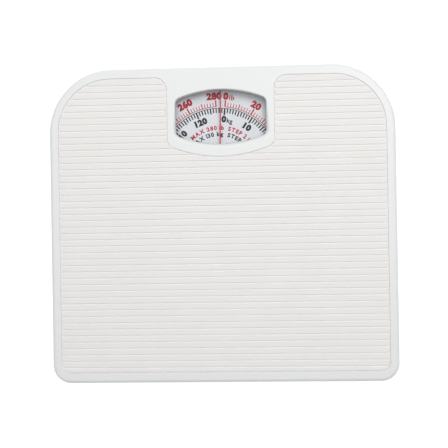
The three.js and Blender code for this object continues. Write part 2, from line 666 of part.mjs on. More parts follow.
function bridgeScrew(side) {
  const seat = TRAY_FLOOR + GAP / 6 + BRACKET_SHEET + GAP / 6;
  const bottom = TRAY_BOTTOM - 1;
  const top = seat + SCREW_HEAD;
  const points = [[0, bottom], [PIN_RADIUS, bottom], [PIN_RADIUS, seat], [SCREW_HEAD_RADIUS, seat]];
  points.push([SCREW_HEAD_RADIUS, (seat + top) / 2], [SCREW_HEAD_RADIUS - 1, top], [0, top]);
  return turned(points, side * BRIDGE_SCREW_X, DIAL_Y, 20);
}

// ---- Bell crank ----------------------------------------------------------------------------------

// Two arms at right angles, drawn at mid swing and turned back to rest.
function bellCrank() {
  const arm = CRANK_ARM_WIDTH / 2;
  const reach = CRANK_RISE / Math.cos(CRANK_HALF_SWING) + 1.5;
  const thick = CRANK_THICKNESS;
  const x0 = CRANK_X - thick / 2;
  const upright = block(x0, x0 + thick, -arm, arm, 0, reach);
  const level = block(x0, x0 + thick, 0, CRANK_SHORT_ARM, -arm, arm);
  const tip = crossRod(CRANK_TIP_RADIUS, CRANK_X, CRANK_SHORT_ARM, 0, thick, 20);
  const hub = crossRod(CRANK_HUB_RADIUS, CRANK_X, 0, 0, thick, 24);
  const bore = crossRod(PIN_RADIUS + PIN_CLEARANCE, CRANK_X, 0, 0, 4 * thick);
  const crank = cut(join(upright, level, tip, hub), bore);
  return crank.rotateX(CRANK_HALF_SWING).translate(0, CRANK_Y, CRANK_PIVOT_Z);
}

function crankEars() {
  const near = CRANK_X - CRANK_THICKNESS / 2 - 2 * GAP;
  const far = CRANK_X + CRANK_THICKNESS / 2 + CRANK_SPRING_SPACE;
  return { near, far };
}

function crankBracket() {
  const { near, far } = crankEars();
  const t = BRACKET_SHEET;
  const floor = TRAY_FLOOR + GAP / 6;
  const top = CRANK_PIVOT_Z + 3.5;
  const section = polygon([
    [near - 6, floor], [far + 6, floor], [far + 6, floor + t], [far + t, floor + t],
    [far + t, top], [far, top], [far, floor + t], [near, floor + t],
    [near, top], [near - t, top], [near - t, floor + t], [near - 6, floor + t],
  ]);
  const bore = crossRod(PIN_RADIUS + PIN_CLEARANCE, CRANK_X, CRANK_Y, CRANK_PIVOT_Z, 40);
  return cut(standing(section, 8, { x: 0, y: CRANK_Y }, 0), bore);
}

function crankPin() {
  const { near, far } = crankEars();
  const length = far - near + 2 * BRACKET_SHEET + 2;
  return crossRod(PIN_RADIUS, (near + far) / 2, CRANK_Y, CRANK_PIVOT_Z, length);
}

// A torsion coil on the crank's pin, which keeps the short arm down on the yoke.
function crankReturnSpring() {
  const { far } = crankEars();
  const start = CRANK_X + CRANK_THICKNESS / 2 + GAP;
  const turnsAlongX = coil(2.6, 0.4, 3, start, far - GAP).rotateY(Math.PI / 2);
  return turnsAlongX.translate(0, CRANK_Y, CRANK_PIVOT_Z);
}

// ---- Yoke, main spring and zero adjuster ---------------------------------------------------------

// The plate that the long levers press down and the main spring holds up.
function springYoke() {
  const half = YOKE_HALF_WIDTH;
  const plate = block(-half, half, YOKE_FRONT, YOKE_BACK, YOKE_TOP - YOKE_SHEET, YOKE_TOP);
  return cut(plate, rod(SPRING_RADIUS - 2, 0, SPRING_Y, 0, HEIGHT));
}

const mainSpring = () =>
  coil(SPRING_RADIUS, SPRING_WIRE, SPRING_TURNS, YOKE_TOP + GAP, SPRING_TOP, 8, 16)
    .translate(0, SPRING_Y, 0);

// The adjusting screw with the arm from which the main spring hangs.
function springHanger() {
  const z = SPRING_TOP + GAP;
  const arm = block(-4, 4, SPRING_Y - 4, KNOB_Y + 3.5, z, z + HANGER_SHEET);
  return join(arm, rod(SCREW_RADIUS, 0, KNOB_Y, TRAY_FLOOR + 1.8, z + 0.5, 20));
}

// The thumbwheel that is turned to set the dial to zero; a ribbed rim on a hub between two flanges.
function zeroKnob() {
  const rim = new THREE.Shape();
  const steps = KNOB_RIBS * 4;
  for (let i = 0; i < steps; i += 1) {
    const angle = (2 * Math.PI * i) / steps;
    const radius = KNOB_RADIUS - (i % 4 < 2 ? 0 : 0.6);
    const at = [radius * Math.cos(angle), radius * Math.sin(angle)];
    if (i === 0) rim.moveTo(...at);
    else rim.lineTo(...at);
  }
  const wheel = slab(rim, KNOB_BOTTOM, KNOB_BOTTOM + KNOB_THICKNESS);
  const { low, high } = knobFlanges();
  const hub = rod(SCREW_RADIUS + GAP + KNOB_HUB_WALL, 0, 0, low + GAP, high - GAP);
  const bore = rod(SCREW_RADIUS + GAP, 0, 0, 0, HEIGHT);
  return cut(join(wheel, hub), bore).translate(0, KNOB_Y, 0);
}

const knobFlanges = () => ({
  low: TRAY_FLOOR + GAP / 6 + BRACKET_SHEET,
  high: KNOB_BOTTOM + KNOB_THICKNESS + 2,
});

// A C-shaped bracket round the knob, whose upper flange guides the adjusting screw.
function knobBracket() {
  const floor = TRAY_FLOOR + GAP / 6;
  const t = BRACKET_SHEET;
  const { high } = knobFlanges();
  const wall = KNOB_BRACKET_WALL;
  const end = BACK - TRAY_INSET - SHEET - GAP;
  const section = polygon([
    [wall, floor], [end, floor], [end, floor + t], [wall + t, floor + t],
    [wall + t, high], [end, high], [end, high + t], [wall, high + t],
  ]);
  const bracket = standing(section, KNOB_BRACKET_WIDTH, { x: 0, y: 0 }, Math.PI / 2);
  const screwHole = rod(SCREW_RADIUS + GAP, 0, KNOB_Y, high - 1, high + 3);
  return cut(bracket, screwHole);
}

// ---- Base ----------------------------------------------------------------------------------------

function footPlaces() {
  const x = WIDTH / 2 - FOOT_INSET_X;
  const y = LENGTH / 2 - FOOT_INSET_Y;
  return { front_left: [-x, -y], front_right: [x, -y], back_left: [-x, y], back_right: [x, y] };
}

// The plan of a stiffening bead pressed up into the tray floor.
function beadOutline(x, inset) {
  const half = BEAD_WIDTH / 2 - inset;
  const reach = (BEAD_LENGTH - BEAD_WIDTH) / 2;
  return new THREE.Shape()
    .absarc(x, BEAD_Y + reach, half, 0, Math.PI)
    .absarc(x, BEAD_Y - reach, half, Math.PI, 2 * Math.PI);
}

function baseTray() {
  const outside = slab(platformOutline(TRAY_INSET), TRAY_BOTTOM, TRAY_TOP, 5);
  const hollow = slab(platformOutline(TRAY_INSET + SHEET), TRAY_FLOOR, TRAY_TOP + 1, 5);
  const beads = [-1, 0, 1].map((column) => column * BEAD_SPACING);
  const raised = beads.map((x) => slab(beadOutline(x, 0), TRAY_BOTTOM + SHEET / 2, TRAY_FLOOR + BEAD_HEIGHT));
  const grooves = beads.map((x) => slab(beadOutline(x, SHEET), 0, TRAY_BOTTOM + BEAD_HEIGHT));
  const holes = Object.values(footPlaces()).map(([x, y]) => rod(FOOT_NECK + GAP, x, y, 0, 9));
  for (const side of [-1, 1]) {
    holes.push(rod(PIN_RADIUS + PIN_CLEARANCE, side * BRIDGE_SCREW_X, DIAL_Y, 0, 9));
  }
  const slotHalf = KNOB_RADIUS + 1;
  const z0 = KNOB_BOTTOM - 1;
  const slot = block(-slotHalf, slotHalf, KNOB_Y, BACK + 1, z0, KNOB_BOTTOM + KNOB_THICKNESS + 1);
  return cut(join(cut(outside, hollow), ...raised), ...grooves, ...holes, slot);
}

// A rubber foot: its neck passes through the tray and its head keeps it there.
function foot([x, y]) {
  const under = TRAY_BOTTOM - GAP / 3;
  const over = TRAY_FLOOR + GAP / 3;
  const points = [
    [0, 0], [FOOT_RADIUS - 1, 0], [FOOT_RADIUS, 1], [FOOT_RADIUS, under], [FOOT_NECK, under],
    [FOOT_NECK, over], [FOOT_NECK + 2, over], [FOOT_NECK, over + 3], [0, over + 3],
  ];
  return turned(points, x, y, 24);
}

const holdSpring = (side) =>
  coil(HOLD_SPRING_RADIUS, HOLD_SPRING_WIRE, HOLD_SPRING_TURNS,
    TRAY_FLOOR + GAP, COVER_UNDERSIDE - GAP)
    .translate(side * (WIDTH / 2 - HOLD_SPRING_INSET), HOLD_SPRING_Y, 0);

// ---- Materials and assembly ----------------------------------------------------------------------

const material = (color, roughness, metalness, extra = {}) =>
  new THREE.MeshStandardMaterial({ color, roughness, metalness, ...extra });

const WHITE_ENAMEL = material(0xf1f3f2, 0.3, 0);
const MAT_VINYL = material(0xe6e4df, 0.75, 0);
const CLEAR_PLASTIC = material(0xf6fafb, 0.05, 0, { transparent: true, opacity: 0.25 });
const RED_INK = material(0xb01c2e, 0.5, 0);
const DIAL_CARD = material(0xe9ebf0, 0.6, 0);
const ZINC_STEEL = material(0xb4b6b8, 0.4, 0.9);
const SPRING_STEEL = material(0x8d9093, 0.35, 1);
const BRASS = material(0xc2a35a, 0.35, 1);
const WHITE_PLASTIC = material(0xeef0ef, 0.4, 0);
const GREY_RUBBER = material(0x55585a, 0.85, 0);

const scale = new THREE.Group();

function add(name, geometry, finish) {
  const mesh = new THREE.Mesh(geometry, finish);
  mesh.name = name;
  scale.add(mesh);
}

add("top_cover", topCover(), WHITE_ENAMEL);
add("anti_slip_mat", antiSlipMat(), MAT_VINYL);
add("window_lens", windowLens(), CLEAR_PLASTIC);
add("lens_retainer", lensRetainer(), ZINC_STEEL);
add("hairline", hairline(), RED_INK);

add("dial_disc", dialDisc(), DIAL_CARD);
add("dial_hub", dialHub(), WHITE_PLASTIC);
add("dial_cap", dialCap(), WHITE_PLASTIC);
add("dial_shaft", dialShaft(), SPRING_STEEL);
add("pinion", pinion(), BRASS);
add("rack", rack(), BRASS);
add("rack_guide", rackGuide(), ZINC_STEEL);
add("dial_bridge", dialBridge(), ZINC_STEEL);
add("shaft_bush", shaftBush(), BRASS);

add("bell_crank", bellCrank(), ZINC_STEEL);
add("crank_bracket", crankBracket(), ZINC_STEEL);
add("crank_pin", crankPin(), SPRING_STEEL);
add("crank_return_spring", crankReturnSpring(), SPRING_STEEL);

add("spring_yoke", springYoke(), ZINC_STEEL);
add("main_spring", mainSpring(), SPRING_STEEL);
add("spring_hanger", springHanger(), ZINC_STEEL);
add("zero_knob", zeroKnob(), WHITE_PLASTIC);
add("knob_bracket", knobBracket(), ZINC_STEEL);

add("base_tray", baseTray(), WHITE_ENAMEL);
for (const [place, at] of Object.entries(footPlaces())) add(`foot_${place}`, foot(at), GREY_RUBBER);

for (const [hand, side] of [["left", -1], ["right", 1]]) {
  add(`long_lever_${hand}`, longLever(side), ZINC_STEEL);
  add(`short_lever_${hand}`, shortLever(side), ZINC_STEEL);
  for (const [end, line] of [["front", longLine(side)], ["back", shortLine(side)]]) {
    add(`fulcrum_bracket_${end}_${hand}`, fulcrumBracket(line), ZINC_STEEL);
    add(`fulcrum_pin_${end}_${hand}`, fulcrumPin(line), SPRING_STEEL);
    add(`load_post_${end}_${hand}`, loadPost(line), ZINC_STEEL);
  }
  add(`retainer_screw_${hand}`, retainerScrew(side), SPRING_STEEL);
  add(`bridge_screw_${hand}`, bridgeScrew(side), SPRING_STEEL);
  add(`hold_down_spring_${hand}`, holdSpring(side), SPRING_STEEL);
}

export default scale;
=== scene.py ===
# %% [markdown]
# # A dial scale for the bathroom, seen from above
#
# The object is a flat platform scale. A pressed steel cover carries a ribbed mat, and a small window
# near its back edge shows a printed dial. Someone stands on the mat, the cover sinks by about a
# millimetre, and the levers underneath turn the dial.
#
# The engineering model comes first, as a fixed frame. Every piece made here sits where that frame
# says, and all but the springs ride on the body that moves them.

# %% Load the frame
import json
import math

import bpy
from mathutils import Euler, Matrix, Vector


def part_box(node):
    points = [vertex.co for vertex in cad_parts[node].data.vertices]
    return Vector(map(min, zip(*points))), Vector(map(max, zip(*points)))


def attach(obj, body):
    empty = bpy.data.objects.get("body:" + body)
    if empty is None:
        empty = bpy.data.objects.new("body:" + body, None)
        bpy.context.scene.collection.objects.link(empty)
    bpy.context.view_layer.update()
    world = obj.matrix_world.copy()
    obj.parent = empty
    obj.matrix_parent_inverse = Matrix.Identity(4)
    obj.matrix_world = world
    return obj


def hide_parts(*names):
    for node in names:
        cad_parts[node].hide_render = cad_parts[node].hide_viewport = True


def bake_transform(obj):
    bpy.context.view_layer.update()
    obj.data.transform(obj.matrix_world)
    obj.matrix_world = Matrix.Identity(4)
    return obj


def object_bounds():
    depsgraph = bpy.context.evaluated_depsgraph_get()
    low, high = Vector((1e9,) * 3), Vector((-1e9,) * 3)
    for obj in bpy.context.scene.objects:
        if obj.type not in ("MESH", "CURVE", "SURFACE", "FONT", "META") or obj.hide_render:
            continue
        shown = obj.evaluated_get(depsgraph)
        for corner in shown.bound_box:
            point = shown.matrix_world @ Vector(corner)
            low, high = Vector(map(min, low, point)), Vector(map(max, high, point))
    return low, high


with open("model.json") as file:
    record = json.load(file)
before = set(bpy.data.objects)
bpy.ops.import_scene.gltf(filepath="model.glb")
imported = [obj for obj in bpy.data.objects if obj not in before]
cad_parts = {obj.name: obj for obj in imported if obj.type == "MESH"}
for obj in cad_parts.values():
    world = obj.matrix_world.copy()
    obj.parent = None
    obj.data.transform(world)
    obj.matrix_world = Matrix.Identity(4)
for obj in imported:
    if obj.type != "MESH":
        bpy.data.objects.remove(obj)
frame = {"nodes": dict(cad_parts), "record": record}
CAD_BOX = [list(corner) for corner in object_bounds()]
MM = 0.001
print(len(frame["nodes"]), "nodes, box in mm", [[round(v / MM, 1) for v in c] for c in CAD_BOX])

# %% [markdown]
# ## Working by hand, in code
#
# Blender's operators act on whatever is selected. These few helpers select one piece, open it in
# edit mode with only some of its edges or faces picked, and apply a modifier to it.


# %% Selecting and editing
def only(piece):
    bpy.ops.object.select_all(action="DESELECT")
    piece.select_set(True)
    bpy.context.view_layer.objects.active = piece
    return piece


def pick(piece, kind, test):
    """Opens a piece in edit mode with the vertices, edges or faces selected that pass a test."""
    only(piece)
    bpy.ops.object.mode_set(mode="EDIT")
    bpy.ops.mesh.select_mode(type=kind)
    bpy.ops.mesh.select_all(action="DESELECT")
    bpy.ops.object.mode_set(mode="OBJECT")
    mesh = piece.data
    for item in {"VERT": mesh.vertices, "EDGE": mesh.edges, "FACE": mesh.polygons}[kind]:
        item.select = bool(test(mesh, item))
    bpy.ops.object.mode_set(mode="EDIT")


def done():
    bpy.ops.object.mode_set(mode="OBJECT")


def modify(piece, kind, **settings):
    """Adds a modifier with its settings and applies it."""
    only(piece)
    modifier = piece.modifiers.new(kind.lower(), kind)
    for key, value in settings.items():
        setattr(modifier, key, value)
    bpy.ops.object.modifier_apply(modifier=modifier.name)


def carve(piece, *tools):
    """Cuts a piece with tool shapes, which are then thrown away."""
    for tool in tools:
        modify(piece, "BOOLEAN", operation="DIFFERENCE", object=tool, solver="EXACT")
        bpy.data.objects.remove(tool)


def settle(piece):
    """Bakes an object's place, turn and size into its mesh."""
    only(piece)
    bpy.ops.object.transform_apply(location=True, rotation=True, scale=True)


def join_up(name, pieces):
    """Joins pieces into the first of them, under one name."""
    only(pieces[0])
    for piece in pieces[1:]:
        piece.select_set(True)
    if len(pieces) > 1:
        bpy.ops.object.join()
    pieces[0].name = name
    pieces[0].data.name = name
    return pieces[0]


def smooth(piece, angle=35):
    """Smooth faces with sharp corners kept, and flats that stay flat beside a rounding."""
    only(piece)
    bpy.ops.object.shade_smooth_by_angle(angle=math.radians(angle))
    modify(piece, "WEIGHTED_NORMAL", keep_sharp=True)


def copy_of(piece, name, matrix):
    """A copy with its own mesh, moved by a matrix."""
    twin = piece.copy()
    twin.data = piece.data.copy()
    twin.data.transform(matrix)
    twin.name = name
    bpy.context.collection.objects.link(twin)
    return twin


# %% [markdown]
# Most of this object is sheet metal and moulding, with a plan, or outline, and a thickness. A plan is
# a list of arcs, given as centre, radius and two angles, and the straight parts are what lies between
# them. A circle primitive gives the right number of points, they are moved onto the plan, and the
# face is extruded upwards.


# %% Plans and slabs
def arc(x, y, radius, start, end, steps):
    """Points along an arc, in millimetres; the angles are in degrees."""
    angles = [math.radians(start + (end - start) * i / steps) for i in range(steps + 1)]
    return [(x + radius * math.cos(a), y + radius * math.sin(a)) for a in angles]


def slab(name, plan, low, high):
    """A slab with a plan in millimetres, from one height to another."""
    points = [p for i, p in enumerate(plan) if math.dist(p, plan[i - 1]) > 1e-4]
    bpy.ops.object.select_all(action="DESELECT")
    bpy.ops.mesh.primitive_circle_add(vertices=len(points), radius=MM, fill_type="NGON")
    piece = bpy.context.object
    piece.name = name
    for vertex, (x, y) in zip(piece.data.vertices, points):
        vertex.co = (x * MM, y * MM, low * MM)
    bpy.ops.object.mode_set(mode="EDIT")
    bpy.ops.mesh.select_all(action="SELECT")
    lift = {"value": (0, 0, (high - low) * MM)}
    bpy.ops.mesh.extrude_region_move(TRANSFORM_OT_translate=lift)
    bpy.ops.mesh.select_all(action="SELECT")
    bpy.ops.mesh.normals_make_consistent(inside=False)
    done()
    return piece


def at_height(mesh, edge, z):
    """Do both ends of an edge lie at a height, in millimetres?"""
    return all(abs(mesh.vertices[v].co.z / MM - z) < 1e-3 for v in edge.vertices)


def round_edges(piece, test, radius, segments):
    """Bevels the edges that pass a test to a rounding, in millimetres."""
    pick(piece, "EDGE", test)
    bpy.ops.mesh.bevel(offset=radius * MM, segments=segments, affect="EDGES", clamp_overlap=False)
    done()


# %% [markdown]
# ## The camera
#
# The scale is looked at from straight above, from 0.6 m, as a short telephoto lens would see it. The
# view is a little right of centre and turned by a degree.

# %% Camera
CAMERA_AT = (30.98, -1.39, 646.9)
CAMERA_TURN = (0.107, 2.841, -0.958)
LENS, SENSOR = 62.65, 36
bpy.ops.object.camera_add(location=[v * MM for v in CAMERA_AT])
camera = bpy.context.object
camera.rotation_euler = Euler([math.radians(v) for v in CAMERA_TURN], "XYZ")
camera.data.lens = LENS
camera.data.sensor_width = SENSOR
camera.data.clip_start, camera.data.clip_end = 0.01, 20
bpy.context.scene.camera = camera
print("camera", CAMERA_AT, "lens", camera.data.lens)

# %% [markdown]
# ## The platform cover
#
# The cover is one sheet of steel, 0.8 mm thick, drawn into a lid with a rolled edge. Its front
# corners are tight and its back corners are wide. A shallow recess takes the mat, and the edge of the
# window is turned down in a curve that is soft in front and tight at the back.
#
# It could be built sheet by sheet, but the easiest way is the way a press does it: shape the outer
# skin first, and give it its thickness at the end. The recess and the window are pockets cut into a
# solid block; the floor of the window's pocket and the block's bottom are then deleted, which leaves
# the skin. The window's rounding changes along its rim, so it comes from a Bevel modifier that reads
# a weight on each edge.

# %% Cover sizes and plans
(LEFT, FRONT, _), (RIGHT, BACK, TOP) = [[v / MM for v in corner] for corner in CAD_BOX]
FRONT_CORNER, BACK_CORNER = 14, 49
EDGE_ROUND, WINDOW_ROUND, RECESS_ROUND = 2.8, 3, 0.5
SKIRT_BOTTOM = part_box("top_cover")[0].z / MM
SHEET = 0.8
RECESS_DEPTH = 1.8
MAT_SIDE, MAT_FRONT, MAT_BACK = RIGHT - 7.65, FRONT + 8.6, BACK - 8.2
MAT_FRONT_CORNER, MAT_BACK_CORNER = 6.5, 40
WINDOW_Y = BACK - 38.6
WINDOW_X, WINDOW_HALF_HEIGHT = 35.1, 20.95
WINDOW_ARC, WINDOW_CORNER = 87, 5
WINDOW_FLANGE = 5.5
SIDE_STEPS = 12
NOTCH_X = WINDOW_X + 6.9
NOTCH_ARC, NOTCH_CORNER, NOTCH_SHOULDER = 98, 8, 9


def platform_plan(inset, steps=24):
    """The cover's outline, moved inwards by `inset`."""
    x, y = RIGHT - inset, BACK - inset
    front, back = max(FRONT_CORNER - inset, 1), BACK_CORNER - inset
    return (
        arc(x - front, -y + front, front, -90, 0, steps // 2)
        + arc(x - back, y - back, back, 0, 90, steps)
        + arc(-x + back, y - back, back, 90, 180, steps)
        + arc(-x + front, -y + front, front, 180, 270, steps // 2)
    )


def window_plan(grow, steps=8):
    """The window's outline: straight sides between two shallow arcs."""
    x = WINDOW_X - WINDOW_CORNER
    reach = math.sqrt((WINDOW_ARC - WINDOW_CORNER) ** 2 - x**2)
    drop = WINDOW_ARC - WINDOW_HALF_HEIGHT
    y, half = reach - drop, math.degrees(math.atan2(x, reach))
    big, small = WINDOW_ARC + grow, WINDOW_CORNER + grow
    side = [(WINDOW_X + grow, WINDOW_Y - y + 2 * y * i / SIDE_STEPS) for i in range(1, SIDE_STEPS)]
    return (
        arc(0, WINDOW_Y + drop, big, -90 - half, -90 + half, 4 * steps)
        + arc(x, WINDOW_Y - y, small, -90 + half, 0, steps)
        + side
        + arc(x, WINDOW_Y + y, small, 0, 90 - half, steps)
        + arc(0, WINDOW_Y - drop, big, 90 - half, 90 + half, 4 * steps)
        + arc(-x, WINDOW_Y + y, small, 90 + half, 180, steps)
        + [(-x, y) for x, y in reversed(side)]
        + arc(-x, WINDOW_Y - y, small, 180, 270 - half, steps)
    )


NOTCH_CORNER_X = NOTCH_X - NOTCH_CORNER
SURROUND_FRONT = 10.3
NOTCH_ARC_Y = WINDOW_Y - WINDOW_HALF_HEIGHT - SURROUND_FRONT + NOTCH_ARC
NOTCH_REACH = math.sqrt((NOTCH_ARC - NOTCH_CORNER) ** 2 - NOTCH_CORNER_X**2)
NOTCH_FRONT = NOTCH_ARC_Y - NOTCH_ARC
NOTCH_CORNER_Y = NOTCH_ARC_Y - NOTCH_REACH
SHOULDER_X, SHOULDER_Y = NOTCH_X + NOTCH_SHOULDER, MAT_BACK - NOTCH_SHOULDER


def mat_plan(grow, steps=10):
    """The mat's outline: it stops inside the borders and goes round the window's surround."""
    half = math.degrees(math.atan2(NOTCH_CORNER_X, NOTCH_REACH))
    right = (
        arc(MAT_SIDE - MAT_FRONT_CORNER, MAT_FRONT + MAT_FRONT_CORNER, MAT_FRONT_CORNER + grow, -90, 0, steps)
        + arc(MAT_SIDE - MAT_BACK_CORNER, MAT_BACK - MAT_BACK_CORNER, MAT_BACK_CORNER + grow, 0, 90, 2 * steps)
        + arc(SHOULDER_X, SHOULDER_Y, NOTCH_SHOULDER + grow, 90, 180, steps)
        + arc(NOTCH_CORNER_X, NOTCH_CORNER_Y, NOTCH_CORNER - grow, 0, -90 + half, steps)
        + arc(0, NOTCH_ARC_Y, NOTCH_ARC - grow, -90 + half, -90, 2 * steps)
    )
    return right + [(-x, y) for x, y in reversed(right[:-1])]


print("mat to", round(MAT_SIDE, 2), "mm each side, window centre at", round(WINDOW_Y, 2))

# %% Press the cover
cover = slab("platform_cover", platform_plan(0), SKIRT_BOTTOM, TOP)
round_edges(cover, lambda mesh, edge: at_height(mesh, edge, TOP), EDGE_ROUND, 7)
carve(
    cover,
    slab("recess_tool", mat_plan(0.5), TOP - RECESS_DEPTH, TOP + 4),
    slab("window_tool", window_plan(0), TOP - WINDOW_FLANGE, TOP + 4),
)


def on_window_rim(mesh, edge):
    ends = [mesh.vertices[v].co / MM for v in edge.vertices]
    inside = [abs(p.x) < WINDOW_X + 0.1 and abs(p.y - WINDOW_Y) < WINDOW_HALF_HEIGHT + 0.1 for p in ends]
    return at_height(mesh, edge, TOP) and all(inside)


def on_recess_rim(mesh, edge):
    inset = RIGHT - EDGE_ROUND - 0.2
    ends = [mesh.vertices[v].co / MM for v in edge.vertices]
    inside = [abs(p.x) < inset - 2 and abs(p.y) < BACK - EDGE_ROUND - 2 for p in ends]
    linked = len([f for f in rim_faces[tuple(sorted(edge.vertices))] if abs(mesh.polygons[f].normal.z) < 0.5])
    return at_height(mesh, edge, TOP) and all(inside) and linked and not on_window_rim(mesh, edge)


def faces_of_edges(piece):
    """Which faces meet at each edge."""
    table = {}
    for face in piece.data.polygons:
        for key in face.edge_keys:
            table.setdefault(tuple(sorted(key)), []).append(face.index)
    return table


rim_faces = faces_of_edges(cover)
round_edges(cover, on_recess_rim, RECESS_ROUND, 3)


def rim_weight(y):
    """How much of the full rounding the window's rim has: all of it in front, a third at the back."""
    share = min(max((y - WINDOW_Y) / WINDOW_HALF_HEIGHT + 0.5, 0) / 1.1, 1)
    return 1 - 0.7 * share * share * (3 - 2 * share)


weights = cover.data.attributes.new("bevel_weight_edge", "FLOAT", "EDGE")
for edge in cover.data.edges:
    if on_window_rim(cover.data, edge):
        middle_y = sum(cover.data.vertices[v].co.y for v in edge.vertices) / 2 / MM
        weights.data[edge.index].value = rim_weight(middle_y)
modify(cover, "BEVEL", width=WINDOW_ROUND * MM, segments=6, limit_method="WEIGHT", use_clamp_overlap=False)


def spare(mesh, face):
    """The block's bottom, and the floor of the window's pocket."""
    z = face.center.z / MM
    return abs(face.normal.z) > 0.9 and (z < SKIRT_BOTTOM + 0.1 or abs(z - TOP + WINDOW_FLANGE) < 0.1)


pick(cover, "FACE", spare)
bpy.ops.mesh.delete(type="FACE")
bpy.ops.mesh.select_all(action="SELECT")
bpy.ops.mesh.remove_doubles(threshold=1e-6)
done()
modify(cover, "SOLIDIFY", thickness=SHEET * MM, offset=-1, use_even_offset=True)
smooth(cover)
print("cover", len(cover.data.polygons), "faces")

# %% [markdown]
# ## The ribbed mat
#
# The mat is soft vinyl, moulded in one piece: flat ribs 4 mm wide, with grooves between them so that a
# wet foot doesn't slip. Each rib ends in a rounding, so the mat's edge is scalloped.
#
# Every rib is a bar whose ends follow the mat's outline. Where the outline is straight the bars are
# alike, so one is made and copied up the mat; the bars at the corners and round the window are cut to
# their own length. A thin sheet under them joins the mat together and makes the floor of its grooves.

# %% The ribs' ends
RIB_PITCH, GROOVE = 4.963, 1
FIRST_GROOVE = MAT_FRONT + 3.17
RIB_ROUND = 1.5
RIB_SOFTNESS = 0.28
MAT_TOP, MAT_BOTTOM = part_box("anti_slip_mat")[1].z / MM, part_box("anti_slip_mat")[0].z / MM
GROOVE_FLOOR = MAT_TOP - 0.5
END_STEPS = 10
NOTCH_ARC_END = NOTCH_CORNER_Y - NOTCH_CORNER * math.cos(math.atan2(NOTCH_CORNER_X, NOTCH_REACH))


def outer_end(y):
    """How far right the mat reaches at a height y on its plan."""
    front, back = MAT_FRONT + MAT_FRONT_CORNER, MAT_BACK - MAT_BACK_CORNER
    if y < front:
        return MAT_SIDE - MAT_FRONT_CORNER + math.sqrt(max(MAT_FRONT_CORNER**2 - (front - y) ** 2, 0))
    if y > back:
        return MAT_SIDE - MAT_BACK_CORNER + math.sqrt(max(MAT_BACK_CORNER**2 - (y - back) ** 2, 0))
    return MAT_SIDE


def notch_end(y):
    """How far left the mat reaches beside the window."""
    if y < NOTCH_FRONT:
        return 0
    if y < NOTCH_ARC_END:
        return math.sqrt(NOTCH_ARC**2 - (NOTCH_ARC_Y - y) ** 2)
    if y < NOTCH_CORNER_Y:
        return NOTCH_CORNER_X + math.sqrt(NOTCH_CORNER**2 - (NOTCH_CORNER_Y - y) ** 2)
    if y > SHOULDER_Y:
        return SHOULDER_X - math.sqrt(max(NOTCH_SHOULDER**2 - (y - SHOULDER_Y) ** 2, 0))
    return NOTCH_X


def rib_end(low, high, edge, side, rounding=RIB_ROUND, steps=END_STEPS):
    """Points up the end of a rib that stops at an edge; `side` is 1 for its right end."""
    points = []
    for i in range(steps + 1):
        y = low + (high - low) * (1 - math.cos(math.pi * i / steps)) / 2
        over = max(abs(y - (low + high) / 2) - (high - low) / 2 + rounding, 0)
        points.append((edge(y) - side * (rounding - math.sqrt(max(rounding**2 - over**2, 0))), y))
    return points


def mirrored(points):
    """The same points on the left side, in the order that carries on round the plan."""
    return [(-x, y) for x, y in reversed(points)]


# %% Mould the mat
def rib(plan):
    """A bar of the mat, with its top edges softened."""
    bar = slab("rib", plan, MAT_BOTTOM + 0.05, MAT_TOP)
    round_edges(bar, lambda mesh, edge: at_height(mesh, edge, MAT_TOP), RIB_SOFTNESS, 3)
    return bar


grooves = [FIRST_GROOVE]
while grooves[-1] + RIB_PITCH < MAT_BACK - RIB_PITCH / 2:
    grooves.append(FIRST_GROOVE + RIB_PITCH * len(grooves))
fronts = [MAT_FRONT] + [groove + GROOVE / 2 for groove in grooves]
backs = [groove - GROOVE / 2 for groove in grooves] + [MAT_BACK]
bands = list(zip(fronts, backs))

# %% [markdown]
# One rib lies across the front of the window's surround, so its back edge dips towards the middle.
# Further back there are two ribs, one on each side. The first of them end on the surround's long
# slant, where a rounding would only make a thin spike, so their inner ends stay plain.

# %% Mould each rib
ribs, straight_rib = [], None
for low, high in bands:
    outside = rib_end(low, high, outer_end, 1)
    straight = low > MAT_FRONT + MAT_FRONT_CORNER and high < NOTCH_FRONT
    if straight and straight_rib:
        first, at = straight_rib
        ribs.append(copy_of(first, "rib", Matrix.Translation((0, (low - at) * MM, 0))))
    elif high <= NOTCH_FRONT:
        ribs.append(rib(outside + mirrored(outside)))
        straight_rib = (ribs[-1], low) if straight else straight_rib
    elif low < NOTCH_FRONT:
        heights = [NOTCH_FRONT + (high - NOTCH_FRONT) * k**2 for k in (0.8, 0.6, 0.4, 0.2)]
        dip = [(notch_end(heights[0]), high)] + [(notch_end(y), y) for y in heights]
        ribs.append(rib(outside + dip + [(0, NOTCH_FRONT)] + mirrored(dip) + mirrored(outside)))
    else:
        if low < NOTCH_ARC_END:
            inside = rib_end(low, high, notch_end, -1, rounding=0, steps=4)
        else:
            inside = rib_end(low, high, notch_end, -1)
        plan = outside + inside[::-1]
        ribs += [rib(plan), rib(mirrored(plan))]
backing = slab("mat_backing", mat_plan(0.42), MAT_BOTTOM, GROOVE_FLOOR)
mat = join_up("ribbed_mat", [backing] + ribs)
smooth(mat)
print(len(bands), "ribs,", len(mat.data.polygons), "faces")
